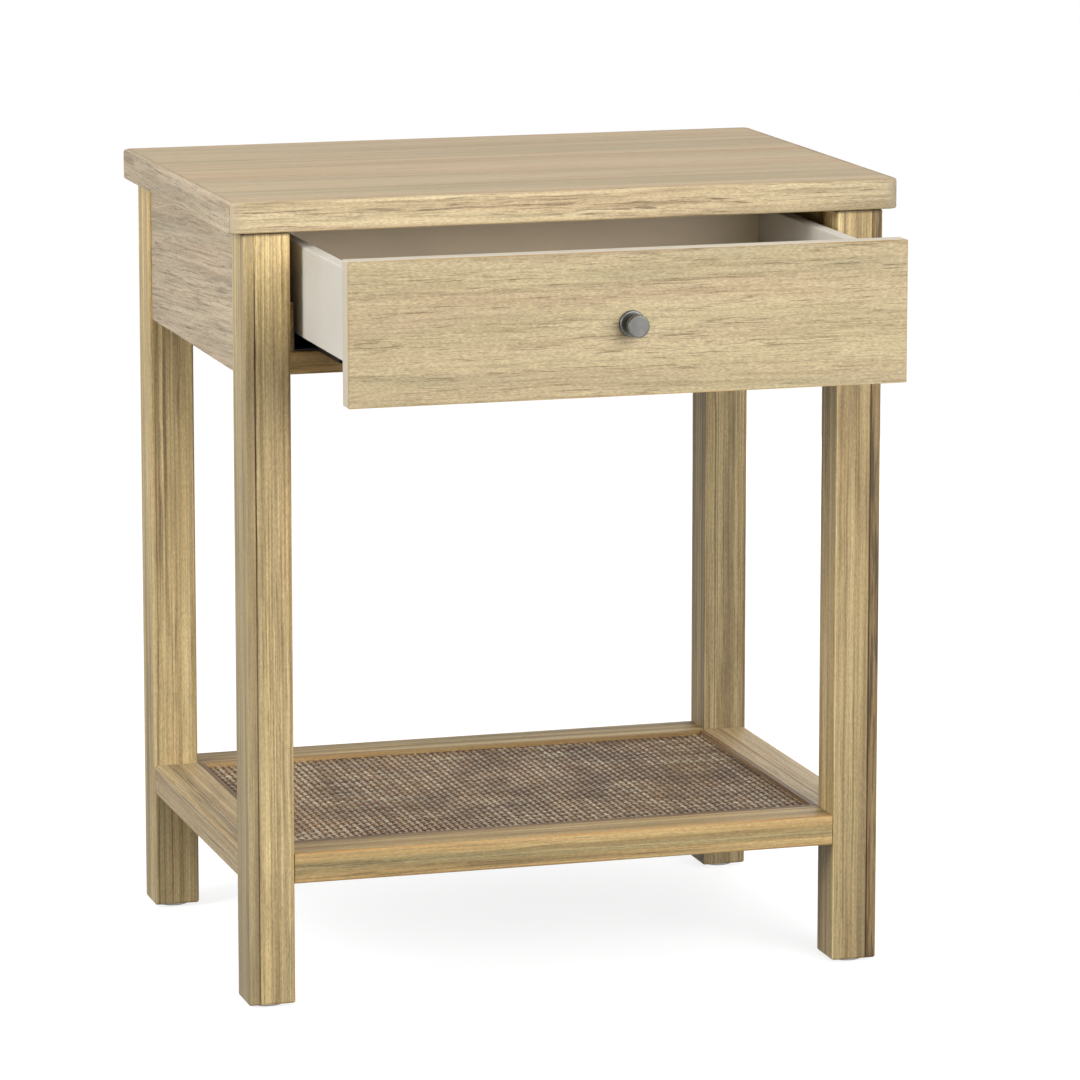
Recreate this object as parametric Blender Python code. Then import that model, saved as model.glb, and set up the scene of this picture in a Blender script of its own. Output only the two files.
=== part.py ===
"""Bedside table with one drawer and a woven shelf, modelled in metres with +Z up and the front facing -Y.

Every piece is placed in the table's own frame: X = 0 is the middle of its width, Y = 0 the middle of its
leg frame's depth, and Z = 0 the floor. The drawer's pieces are placed as if it were shut. Three empties
then carry them: the table, which puts the origin under the middle of the whole outline, the drawer, which
is pulled out, and the slide carriage between them, which comes out half as far.
"""

import math

import bmesh
import bpy
from mathutils import Matrix, Vector

# Clearance between pieces that touch
GAP = 0.0003

# Tabletop: a veneered panel with solid lippings mitred round it
HEIGHT = 0.711
TOP_WIDTH = 0.609
TOP_DEPTH = 0.416
TOP_THICKNESS = 0.027
LIPPING_WIDTH = 0.005
TOP_CORNER_RADIUS = 0.009
TOP_ARRIS_RADIUS = 0.003
TOP_BOTTOM = HEIGHT - TOP_THICKNESS

# Legs
BODY_WIDTH = 0.581
BODY_DEPTH = 0.410
LEG_SIDE = 0.042
LEG_RADIUS = 0.002
GLIDE_HEIGHT = 0.003
GLIDE_RADIUS = 0.0145
GLIDE_PIN_RADIUS = 0.0015
GLIDE_PIN_LENGTH = 0.015
LEG_GROOVE_FROM_SIDE = 0.0097
LEG_GROOVE_WIDTH = 0.0012
LEG_GROOVE_DEPTH = 0.0008
LEG_INNER_X = BODY_WIDTH / 2 - LEG_SIDE
LEG_INNER_Y = BODY_DEPTH / 2 - LEG_SIDE
LEG_CENTRE_X = (BODY_WIDTH - LEG_SIDE) / 2
LEG_CENTRE_Y = (BODY_DEPTH - LEG_SIDE) / 2

# Aprons and the rail under the drawer
APRON_BOTTOM = 0.557
APRON_THICKNESS = 0.018
APRON_RECESS = 0.003
APRON_INNER_X = BODY_WIDTH / 2 - APRON_RECESS - APRON_THICKNESS
APRON_INNER_Y = BODY_DEPTH / 2 - APRON_RECESS - APRON_THICKNESS
RAIL_HEIGHT = 0.020
RAIL_DEPTH = 0.022
RAIL_TOP = APRON_BOTTOM + RAIL_HEIGHT
RAIL_SCREW_X = 0.206
RAIL_SCREW_DROP = 0.005

# Tenons: how far they enter a leg, how thick they are, and the shoulder above and below them
TENON_LENGTH = 0.014
TENON_THICKNESS = 0.008
TENON_SHOULDER = 0.006

# Cleats that hold the top, and their screws
CLEAT_SIDE = 0.018
CLEAT_LENGTH = 0.300
CLEAT_SCREW_Y = 0.100
SCREW_SHANK_RADIUS = 0.002
SCREW_HEAD_RADIUS = 0.004
SCREW_HEAD_HEIGHT = 0.002

# Shelf: four rails rebated for a backed woven panel, which four beads hold down
SHELF_TOP = 0.137
SHELF_THICKNESS = 0.027
SHELF_RECESS = 0.001
SHELF_LEDGE = 0.008
SHELF_REBATE_DEPTH = 0.010
BACKING_THICKNESS = 0.0042
WEAVE_THICKNESS = 0.002
WEAVE_EDGE_THICKNESS = 0.001
BEAD_WIDTH = 0.0045
WEAVE_TOP = SHELF_TOP - SHELF_REBATE_DEPTH + 2 * GAP + BACKING_THICKNESS + WEAVE_THICKNESS
SHELF_BOTTOM = SHELF_TOP - SHELF_THICKNESS

# Drawer front: a painted board with a veneered face
DRAWER_PULL = 0.183
FRONT_WIDTH = 0.492
FRONT_BOTTOM = 0.559
FRONT_TOP = 0.682
FRONT_THICKNESS = 0.019
VENEER_THICKNESS = 0.001
FRONT_FACE_Y = -BODY_DEPTH / 2
FRONT_BACK_Y = FRONT_FACE_Y + FRONT_THICKNESS
RAIL_FACE_Y = FRONT_BACK_Y + 0.0005

# Drawer box
BOX_HALF_WIDTH = 0.2375
BOX_WALL = 0.012
BOX_BOTTOM = 0.591
BOX_TOP = 0.6705
BOX_REAR_Y = 0.138
BOX_INNER_X = BOX_HALF_WIDTH - BOX_WALL
FLOOR_BOTTOM = 0.604
FLOOR_THICKNESS = 0.005
FLOOR_TONGUE_THICKNESS = 0.003
FLOOR_GROOVE = 0.006
FRONT_SCREW_X = 0.150
FRONT_SCREW_Z = 0.650

# Knob
KNOB_Z = (FRONT_BOTTOM + FRONT_TOP) / 2
ROSETTE_RADIUS = 0.0114
ROSETTE_THICKNESS = 0.0036
NECK_RADIUS = 0.0046
HEAD_RADIUS = 0.0096
HEAD_THICKNESS = 0.0066
KNOB_PROJECTION = 0.0205
KNOB_SCREW_RADIUS = 0.002

# Undermount slides: folded steel rails on wooden packers
SHEET = 0.0012
PACKER_INNER_X = 0.2415
PACKER_TOP = 0.620
SLIDE_LENGTH = 0.300
SLIDE_FRONT_Y = FRONT_BACK_Y + 0.003
SLIDE_WEB_BOTTOM = RAIL_TOP + 2 * GAP
CABINET_RAIL_INNER_X = 0.204
CABINET_RAIL_TOP = 0.600
CABINET_LIP_TOP = 0.5862
CARRIAGE_OUTER_X = 0.224
CARRIAGE_INNER_X = 0.208
CARRIAGE_BOTTOM = SLIDE_WEB_BOTTOM + SHEET + 0.0008
CARRIAGE_TOP = 0.589
DRAWER_RAIL_OUTER_X = 0.2165
DRAWER_RAIL_INNER_X = 0.198
DRAWER_RAIL_BLADE_X = 0.2142
DRAWER_RAIL_BOTTOM = CARRIAGE_BOTTOM + SHEET + 0.0008
CLIP_WIDTH = 0.018
CLIP_LENGTH = 0.038
CLIP_BOTTOM = 0.5922

# The origin lies under the middle of the whole outline, from the knob to the back of the top
OUTLINE_FRONT_Y = FRONT_FACE_Y - DRAWER_PULL - KNOB_PROJECTION
TABLE_Y = -(OUTLINE_FRONT_Y + TOP_DEPTH / 2) / 2

ROUND_STEPS = 32
SIDES = (("left", -1), ("right", 1))
ENDS = (("front", -1), ("rear", 1))


def clear_scene():
    for obj in list(bpy.data.objects):
        bpy.data.objects.remove(obj)


def make_material(name, colour, roughness, metallic=0.0):
    material = bpy.data.materials.new(name)
    material.use_nodes = True
    shader = material.node_tree.nodes["Principled BSDF"]
    shader.inputs["Base Color"].default_value = (*colour, 1.0)
    shader.inputs["Roughness"].default_value = roughness
    shader.inputs["Metallic"].default_value = metallic
    return material


def make_materials():
    return {
        "washed_wood": make_material("washed_wood", (0.52, 0.41, 0.25), 0.55),
        "veneer": make_material("veneer", (0.55, 0.43, 0.27), 0.45),
        "hidden_wood": make_material("hidden_wood", (0.38, 0.27, 0.15), 0.7),
        "cream_paint": make_material("cream_paint", (0.68, 0.63, 0.56), 0.4),
        "rattan": make_material("rattan", (0.27, 0.20, 0.13), 0.7),
        "backing": make_material("backing", (0.09, 0.06, 0.04), 0.8),
        "gunmetal": make_material("gunmetal", (0.22, 0.21, 0.20), 0.3, 1.0),
        "steel": make_material("steel", (0.55, 0.55, 0.56), 0.35, 1.0),
        "black_steel": make_material("black_steel", (0.03, 0.03, 0.03), 0.45, 1.0),
        "clip_plastic": make_material("clip_plastic", (0.05, 0.05, 0.05), 0.5),
        "glide_plastic": make_material("glide_plastic", (0.85, 0.85, 0.83), 0.4),
    }


def make_empty(name, location, parent=None):
    empty = bpy.data.objects.new(name, None)
    empty.location = location
    empty.parent = parent
    bpy.context.scene.collection.objects.link(empty)
    return empty


def add_object(name, mesh, location, material=None, parent=None):
    obj = bpy.data.objects.new(name, mesh)
    obj.location = location
    obj.parent = parent
    if material:
        mesh.materials.append(material)
    bpy.context.scene.collection.objects.link(obj)
    return obj


def box_bmesh(low, high):
    """A closed box between two corners."""
    low, high = Vector(low), Vector(high)
    shape = bmesh.new()
    bmesh.ops.create_cube(shape, size=1.0)
    size = high - low
    scale = Matrix.Diagonal((*size, 1.0))
    bmesh.ops.transform(shape, matrix=Matrix.Translation((low + high) / 2) @ scale, verts=shape.verts)
    return shape


def round_edges(shape, radius, steps, along=None):
    """Rounds every edge, or only those that run along one axis."""
    edges = []
    for edge in shape.edges:
        run = edge.verts[0].co - edge.verts[1].co
        if along is None or abs(run[along]) > 0.9 * run.length:
            edges.append(edge)
    bmesh.ops.bevel(
        shape, geom=edges, offset=radius, segments=steps, profile=0.5, affect="EDGES", clamp_overlap=True
    )


def finish_mesh(name, shape, origin):
    """The bmesh as a mesh whose vertices count from origin."""
    bmesh.ops.translate(shape, vec=-Vector(origin), verts=shape.verts)
    bmesh.ops.recalc_face_normals(shape, faces=shape.faces)
    mesh = bpy.data.meshes.new(name)
    shape.to_mesh(mesh)
    shape.free()
    return mesh


def board(name, low, high, material, parent, radius=0.0, steps=2, along=None):
    """A board between two corners, with its origin at its middle. Axis 0, 1 or 2 is along."""
    shape = box_bmesh(low, high)
    if radius:
        round_edges(shape, radius, steps, along)
    middle = (Vector(low) + Vector(high)) / 2
    return add_object(name, finish_mesh(name, shape, middle), middle, material, parent)


def boxes_helper(name, corners, parent):
    """One hidden mesh of several boxes, to cut from a piece or to join to it."""
    whole = bmesh.new()
    for low, high in corners:
        part = box_bmesh(low, high)
        mesh = bpy.data.meshes.new("part")
        part.to_mesh(mesh)
        part.free()
        whole.from_mesh(mesh)
        bpy.data.meshes.remove(mesh)
    return hide_helper(add_object(name, finish_mesh(name, whole, (0, 0, 0)), (0, 0, 0), parent=parent))


def hide_helper(helper):
    helper.hide_render = True
    helper.display_type = "WIRE"
    return helper


def boolean(obj, helper, operation):
    modifier = obj.modifiers.new(helper.name, "BOOLEAN")
    modifier.operation = operation
    modifier.object = helper


def cut_boxes(obj, corners):
    boolean(obj, boxes_helper(f"{obj.name}_cut", corners, obj.parent), "DIFFERENCE")


def join_boxes(obj, corners):
    boolean(obj, boxes_helper(f"{obj.name}_join", corners, obj.parent), "UNION")


def turned_bmesh(profile, steps=ROUND_STEPS):
    """A solid turned about Z from (radius, height) points that run from the axis back to the axis."""
    shape = bmesh.new()
    points = [shape.verts.new((radius, 0.0, height)) for radius, height in profile]
    edges = [shape.edges.new(pair) for pair in zip(points, points[1:])]
    bmesh.ops.spin(
        shape,
        geom=points + edges,
        axis=(0, 0, 1),
        cent=(0, 0, 0),
        angle=2 * math.pi,
        steps=steps,
        use_merge=True,
    )
    bmesh.ops.remove_doubles(shape, verts=shape.verts, dist=1e-6)
    return shape


def turned(name, profile, place, direction, material, parent, steps=ROUND_STEPS):
    """A turned piece whose profile's height runs from place along direction."""
    shape = turned_bmesh(profile, steps)
    turn = Vector((0, 0, 1)).rotation_difference(Vector(direction)).to_matrix().to_4x4()
    bmesh.ops.transform(shape, matrix=turn, verts=shape.verts)
    obj = add_object(name, finish_mesh(name, shape, (0, 0, 0)), place, material, parent)
    obj.data.shade_smooth()
    obj.data.set_sharp_from_angle(angle=math.radians(35))
    return obj


def drill(obj, name, place, direction, radius, length):
    """A round hole that starts at place and runs along direction."""
    profile = [(0, 0), (radius, 0), (radius, length), (0, length)]
    helper = turned(name, profile, place, direction, None, obj.parent, steps=16)
    boolean(obj, hide_helper(helper), "DIFFERENCE")


def screw(name, seat, direction, shank_radius, length, head_radius, head_height, material, parent):
    """A pan-head screw: its head stands on seat, and its shank runs along direction."""
    crown = head_height * 0.4
    profile = [
        (0, -head_height),
        (head_radius * 0.6, -head_height),
        (head_radius, -crown),
        (head_radius, -GAP),
        (shank_radius, -GAP),
        (shank_radius, length - shank_radius),
        (0, length),
    ]
    return turned(name, profile, seat, direction, material, parent, steps=16)


def mirrored_box(side, inner_x, outer_x, low_y, high_y, low_z, high_z):
    """Corners of a box on the left (-1) or right (1), given by its distances from the middle."""
    near, far = side * inner_x, side * outer_x
    return (min(near, far), low_y, low_z), (max(near, far), high_y, high_z)


def tenon_across_width(side, middle_y, low_z, high_z, room=0.0):
    """A tenon that enters a leg along X, or with room its mortise."""
    half = TENON_THICKNESS / 2 + room
    return mirrored_box(
        side,
        LEG_INNER_X - (0.0 if room else 0.004),
        LEG_INNER_X + TENON_LENGTH + room,
        middle_y - half,
        middle_y + half,
        low_z + TENON_SHOULDER - room,
        high_z - TENON_SHOULDER + room,
    )


def tenon_across_depth(end, middle_x, low_z, high_z, room=0.0):
    """A tenon that enters a leg along Y, or with room its mortise."""
    half = TENON_THICKNESS / 2 + room
    near = end * (LEG_INNER_Y - (0.0 if room else 0.004))
    far = end * (LEG_INNER_Y + TENON_LENGTH + room)
    low = (middle_x - half, min(near, far), low_z + TENON_SHOULDER - room)
    high = (middle_x + half, max(near, far), high_z - TENON_SHOULDER + room)
    return low, high


def apron_middle(half_size):
    """How far from the table's middle an apron's own middle plane lies."""
    return half_size - APRON_RECESS - APRON_THICKNESS / 2


def shelf_rail_middle(half_size):
    return half_size - LEG_SIDE / 2


def rail_middle_y():
    return RAIL_FACE_Y + RAIL_DEPTH / 2


def leg_mortises(side, end):
    """The mortises of one leg: an apron or rail along X, the side apron, and the two shelf rails."""
    boxes = []
    if end < 0:
        boxes.append(tenon_across_width(side, rail_middle_y(), APRON_BOTTOM, RAIL_TOP, GAP))
    else:
        boxes.append(tenon_across_width(side, apron_middle(BODY_DEPTH / 2), APRON_BOTTOM, TOP_BOTTOM, GAP))
    side_apron_x = side * apron_middle(BODY_WIDTH / 2)
    boxes.append(tenon_across_depth(end, side_apron_x, APRON_BOTTOM, TOP_BOTTOM, GAP))
    shelf_y = end * shelf_rail_middle(BODY_DEPTH / 2)
    boxes.append(tenon_across_width(side, shelf_y, SHELF_BOTTOM, SHELF_TOP, GAP))
    shelf_x = side * (shelf_rail_middle(BODY_WIDTH / 2) + TENON_LENGTH / 2)
    boxes.append(tenon_across_depth(end, shelf_x, SHELF_BOTTOM, SHELF_TOP, GAP))
    return boxes


def make_leg(name, side, end, materials, table):
    low, high = mirrored_box(
        side,
        LEG_INNER_X + GAP,
        BODY_WIDTH / 2,
        min(end * (LEG_INNER_Y + GAP), end * BODY_DEPTH / 2),
        max(end * (LEG_INNER_Y + GAP), end * BODY_DEPTH / 2),
        GLIDE_HEIGHT,
        TOP_BOTTOM - GAP,
    )
    leg = board(name, low, high, materials["washed_wood"], table, LEG_RADIUS)
    cut_boxes(leg, leg_mortises(side, end))
    foot = (side * LEG_CENTRE_X, end * LEG_CENTRE_Y, GLIDE_HEIGHT - GAP)
    drill(leg, f"{name}_pin_hole", foot, (0, 0, 1), GLIDE_PIN_RADIUS + GAP, GLIDE_PIN_LENGTH)
    if end < 0:
        groove = leg_groove(f"{name}_groove", side, table)
        boolean(leg, groove, "DIFFERENCE")
    return leg


def leg_groove(name, side, table):
    """A V-shaped groove down a front leg's face."""
    middle = side * (BODY_WIDTH / 2 - LEG_GROOVE_FROM_SIDE)
    face = -BODY_DEPTH / 2
    clear = 0.001
    half = LEG_GROOVE_WIDTH / 2 * (1 + clear / LEG_GROOVE_DEPTH)
    section = [
        (middle - half, face - clear),
        (middle + half, face - clear),
        (middle, face + LEG_GROOVE_DEPTH),
    ]
    shape = bmesh.new()
    bottom = shape.faces.new([shape.verts.new((x, y, 0.0)) for x, y in section])
    raised = bmesh.ops.extrude_face_region(shape, geom=[bottom])
    moved = [item for item in raised["geom"] if isinstance(item, bmesh.types.BMVert)]
    bmesh.ops.translate(shape, vec=(0, 0, HEIGHT), verts=moved)
    return hide_helper(add_object(name, finish_mesh(name, shape, (0, 0, 0)), (0, 0, 0), parent=table))


def make_glide(name, side, end, materials, table):
    edge = 0.0008
    profile = [
        (0, 0),
        (GLIDE_RADIUS - edge, 0),
        (GLIDE_RADIUS, edge),
        (GLIDE_RADIUS, GLIDE_HEIGHT - GAP),
        (GLIDE_PIN_RADIUS, GLIDE_HEIGHT - GAP),
        (GLIDE_PIN_RADIUS, GLIDE_PIN_LENGTH - GLIDE_PIN_RADIUS),
        (0, GLIDE_PIN_LENGTH),
    ]
    place = (side * LEG_CENTRE_X, end * LEG_CENTRE_Y, 0)
    turned(name, profile, place, (0, 0, 1), materials["glide_plastic"], table)


def make_legs(materials, table):
    for end_name, end in ENDS:
        for side_name, side in SIDES:
            make_leg(f"leg_{end_name}_{side_name}", side, end, materials, table)
            make_glide(f"glide_{end_name}_{side_name}", side, end, materials, table)


def top_outline(table):
    """The tabletop's rounded outline, which shapes each lipping's outer side."""
    low = (-TOP_WIDTH / 2, -TOP_DEPTH / 2, TOP_BOTTOM)
    high = (TOP_WIDTH / 2, TOP_DEPTH / 2, HEIGHT)
    shape = box_bmesh(low, high)
    round_edges(shape, TOP_CORNER_RADIUS, 6, along=2)
    for plane_z, radius in ((HEIGHT, TOP_ARRIS_RADIUS), (TOP_BOTTOM, TOP_ARRIS_RADIUS / 2)):
        edges = [e for e in shape.edges if all(abs(v.co.z - plane_z) < 1e-6 for v in e.verts)]
        bmesh.ops.bevel(shape, geom=edges, offset=radius, segments=3, profile=0.5, affect="EDGES")
    mesh = finish_mesh("top_outline", shape, (0, 0, 0))
    return hide_helper(add_object("top_outline", mesh, (0, 0, 0), parent=table))


def mitred_bar(name, angle, half_length, half_width, bar_width, low_z, high_z, material, parent):
    """One bar of a mitred frame, turned by angle about Z. It lies at -Y before the turn, and its outer
    corners are at half_length along it and half_width from the frame's middle."""
    inset = GAP / 2 * math.sqrt(2)
    outer = -half_width
    inner = outer + bar_width
    outline = [
        (-half_length + inset, outer),
        (half_length - inset, outer),
        (half_length - bar_width - inset, inner),
        (-half_length + bar_width + inset, inner),
    ]
    shape = bmesh.new()
    bottom = shape.faces.new([shape.verts.new((x, y, low_z)) for x, y in outline])
    raised = bmesh.ops.extrude_face_region(shape, geom=[bottom])
    moved = [item for item in raised["geom"] if isinstance(item, bmesh.types.BMVert)]
    bmesh.ops.translate(shape, vec=(0, 0, high_z - low_z), verts=moved)
    bmesh.ops.transform(shape, matrix=Matrix.Rotation(angle, 4, "Z"), verts=shape.verts)
    return add_object(name, finish_mesh(name, shape, (0, 0, 0)), (0, 0, 0), material, parent)


def mitred_frame(prefix, half_x, half_y, bar_width, low_z, high_z, material, parent):
    """Four mitred bars round a rectangle: front, right, rear and left."""
    bars = []
    for turn, place in enumerate(("front", "right", "rear", "left")):
        half_length, half_width = (half_x, half_y) if turn % 2 == 0 else (half_y, half_x)
        name = f"{prefix}_{place}"
        angle = turn * math.pi / 2
        bars.append(
            mitred_bar(name, angle, half_length, half_width, bar_width, low_z, high_z, material, parent)
        )
    return bars


def make_top(materials, table):
    panel_x = TOP_WIDTH / 2 - LIPPING_WIDTH - GAP
    panel_y = TOP_DEPTH / 2 - LIPPING_WIDTH - GAP
    panel = board(
        "top_panel", (-panel_x, -panel_y, TOP_BOTTOM), (panel_x, panel_y, HEIGHT), materials["veneer"], table
    )
    outline = top_outline(table)
    # The bars are a little too tall, so that only the outline shapes their tops and bottoms.
    bars = mitred_frame(
        "lipping",
        TOP_WIDTH / 2 + GAP,
        TOP_DEPTH / 2 + GAP,
        LIPPING_WIDTH + GAP,
        TOP_BOTTOM - TOP_THICKNESS,
        HEIGHT + TOP_THICKNESS,
        materials["washed_wood"],
        table,
    )
    for bar in bars:
        boolean(bar, outline, "INTERSECT")
    return panel


def make_cleats(materials, table, panel):
    """Two cleats inside the side aprons, each with two screws up into the top."""
    cleat_bottom = TOP_BOTTOM - GAP - CLEAT_SIDE
    for side_name, side in SIDES:
        low, high = mirrored_box(
            side,
            APRON_INNER_X - GAP - CLEAT_SIDE,
            APRON_INNER_X - GAP,
            -CLEAT_LENGTH / 2,
            CLEAT_LENGTH / 2,
            cleat_bottom,
            TOP_BOTTOM - GAP,
        )
        cleat = board(f"top_cleat_{side_name}", low, high, materials["hidden_wood"], table)
        for end_name, end in ENDS:
            name = f"top_screw_{end_name}_{side_name}"
            seat = (side * (APRON_INNER_X - GAP - CLEAT_SIDE / 2), end * CLEAT_SCREW_Y, cleat_bottom)
            length = CLEAT_SIDE + TOP_THICKNESS * 0.6
            hole = SCREW_SHANK_RADIUS + GAP
            under_cleat = (seat[0], seat[1], cleat_bottom - 0.001)
            under_panel = (seat[0], seat[1], TOP_BOTTOM - 0.001)
            drill(cleat, f"{name}_cleat_hole", under_cleat, (0, 0, 1), hole, CLEAT_SIDE + 0.002)
            drill(panel, f"{name}_top_hole", under_panel, (0, 0, 1), hole, TOP_THICKNESS * 0.7)
            screw(
                name,
                seat,
                (0, 0, 1),
                SCREW_SHANK_RADIUS,
                length,
                SCREW_HEAD_RADIUS,
                SCREW_HEAD_HEIGHT,
                materials["steel"],
                table,
            )


def make_aprons(materials, table):
    edge = 0.0008
    for side_name, side in SIDES:
        low, high = mirrored_box(
            side,
            APRON_INNER_X,
            APRON_INNER_X + APRON_THICKNESS,
            -LEG_INNER_Y,
            LEG_INNER_Y,
            APRON_BOTTOM,
            TOP_BOTTOM - GAP,
        )
        apron = board(f"apron_{side_name}", low, high, materials["washed_wood"], table, edge, 1, along=1)
        middle_x = side * apron_middle(BODY_WIDTH / 2)
        tenons = [tenon_across_depth(end, middle_x, APRON_BOTTOM, TOP_BOTTOM) for _, end in ENDS]
        join_boxes(apron, tenons)
    low = (-LEG_INNER_X, APRON_INNER_Y, APRON_BOTTOM)
    high = (LEG_INNER_X, APRON_INNER_Y + APRON_THICKNESS, TOP_BOTTOM - GAP)
    back = board("apron_back", low, high, materials["washed_wood"], table, edge, 1, along=0)
    middle_y = apron_middle(BODY_DEPTH / 2)
    join_boxes(back, [tenon_across_width(side, middle_y, APRON_BOTTOM, TOP_BOTTOM) for _, side in SIDES])


def make_front_rail(materials, table):
    """The rail under the drawer, with a small screw near each end that holds the slide's front foot."""
    low = (-LEG_INNER_X, RAIL_FACE_Y, APRON_BOTTOM)
    high = (LEG_INNER_X, RAIL_FACE_Y + RAIL_DEPTH, RAIL_TOP)
    rail = board("front_rail", low, high, materials["washed_wood"], table, 0.0015, 2, along=0)
    join_boxes(rail, [tenon_across_width(side, rail_middle_y(), APRON_BOTTOM, RAIL_TOP) for _, side in SIDES])
    head_radius, shank_radius, head_depth, length = 0.0016, 0.0009, 0.0012, 0.012
    for side_name, side in SIDES:
        name = f"rail_screw_{side_name}"
        face = (side * RAIL_SCREW_X, RAIL_FACE_Y, RAIL_TOP - RAIL_SCREW_DROP)
        outside = (face[0], face[1] - 0.001, face[2])
        drill(rail, f"{name}_sink", outside, (0, 1, 0), head_radius + GAP, 0.001 + head_depth + GAP)
        drill(rail, f"{name}_hole", outside, (0, 1, 0), shank_radius + GAP, 0.001 + length + 2 * GAP)
        profile = [
            (0, 0),
            (head_radius, 0),
            (head_radius, head_depth),
            (shank_radius, head_depth),
            (shank_radius, length),
            (0, length),
        ]
        turned(name, profile, face, (0, 1, 0), materials["black_steel"], table, steps=12)


def make_shelf_rails(materials, table):
    """Rails flush with the legs, each with a ledge inside for the woven panel."""
    edge = 0.0015
    inner_x = LEG_INNER_X - SHELF_LEDGE
    inner_y = LEG_INNER_Y - SHELF_LEDGE
    ledge_top = SHELF_TOP - SHELF_REBATE_DEPTH
    over = 0.005
    for end_name, end in ENDS:
        outer = end * (BODY_DEPTH / 2 - SHELF_RECESS)
        inner = end * inner_y
        low = (-LEG_INNER_X, min(outer, inner), SHELF_BOTTOM)
        high = (LEG_INNER_X, max(outer, inner), SHELF_TOP)
        rail = board(f"shelf_rail_{end_name}", low, high, materials["washed_wood"], table, edge, 2, along=0)
        rebate_y = sorted((end * LEG_INNER_Y, end * (inner_y - over)))
        rebate_low = (-LEG_INNER_X - over, rebate_y[0], ledge_top)
        rebate_high = (LEG_INNER_X + over, rebate_y[1], SHELF_TOP + over)
        cut_boxes(rail, [(rebate_low, rebate_high)])
        middle_y = end * shelf_rail_middle(BODY_DEPTH / 2)
        join_boxes(rail, [tenon_across_width(side, middle_y, SHELF_BOTTOM, SHELF_TOP) for _, side in SIDES])
    for side_name, side in SIDES:
        low, high = mirrored_box(
            side,
            inner_x,
            BODY_WIDTH / 2 - SHELF_RECESS,
            -LEG_INNER_Y,
            LEG_INNER_Y,
            SHELF_BOTTOM,
            SHELF_TOP,
        )
        rail = board(f"shelf_rail_{side_name}", low, high, materials["washed_wood"], table, edge, 2, along=1)
        above = SHELF_TOP + over
        below = SHELF_BOTTOM - over
        rebate = mirrored_box(side, inner_x - over, LEG_INNER_X, -BODY_DEPTH, BODY_DEPTH, ledge_top, above)
        # Each end stops short of the front and rear rails' ledges.
        ends = [
            mirrored_box(side, inner_x - over, LEG_INNER_X + GAP, low_y, high_y, below, above)
            for low_y, high_y in ((-BODY_DEPTH, -inner_y + GAP), (inner_y - GAP, BODY_DEPTH))
        ]
        cut_boxes(rail, [rebate])
        boolean(rail, boxes_helper(f"{rail.name}_ends", ends, table), "DIFFERENCE")
        middle_x = side * (shelf_rail_middle(BODY_WIDTH / 2) + TENON_LENGTH / 2)
        join_boxes(rail, [tenon_across_depth(end, middle_x, SHELF_BOTTOM, SHELF_TOP) for _, end in ENDS])


def make_shelf_panel(materials, table):
    """The backing board and woven panel in the rebate, and the beads that hold the panel's thin edge."""
    half_x = LEG_INNER_X - GAP
    half_y = LEG_INNER_Y - GAP
    backing_bottom = SHELF_TOP - SHELF_REBATE_DEPTH + GAP
    backing_top = backing_bottom + BACKING_THICKNESS
    board(
        "shelf_backing",
        (-half_x, -half_y, backing_bottom),
        (half_x, half_y, backing_top),
        materials["backing"],
        table,
    )
    edge_top = backing_top + GAP + WEAVE_EDGE_THICKNESS
    low, high = (-half_x, -half_y, backing_top + GAP), (half_x, half_y, edge_top)
    weave = board("rattan_panel", low, high, materials["rattan"], table)
    field_x = half_x - BEAD_WIDTH - GAP
    field_y = half_y - BEAD_WIDTH - GAP
    field_bottom = edge_top - WEAVE_EDGE_THICKNESS / 2
    join_boxes(weave, [((-field_x, -field_y, field_bottom), (field_x, field_y, WEAVE_TOP))])
    mitred_frame(
        "bead", half_x, half_y, BEAD_WIDTH, edge_top + GAP, SHELF_TOP, materials["washed_wood"], table
    )


def make_drawer_front(materials, drawer):
    half = FRONT_WIDTH / 2
    core_y = FRONT_FACE_Y + VENEER_THICKNESS + GAP
    low, high = (-half, core_y, FRONT_BOTTOM), (half, FRONT_BACK_Y, FRONT_TOP)
    core = board("drawer_front", low, high, materials["cream_paint"], drawer, 0.0008, 1)
    low, high = (-half, FRONT_FACE_Y, FRONT_BOTTOM), (half, FRONT_FACE_Y + VENEER_THICKNESS, FRONT_TOP)
    veneer = board("drawer_veneer", low, high, materials["veneer"], drawer, 0.0008, 2, along=1)
    return core, veneer


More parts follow.
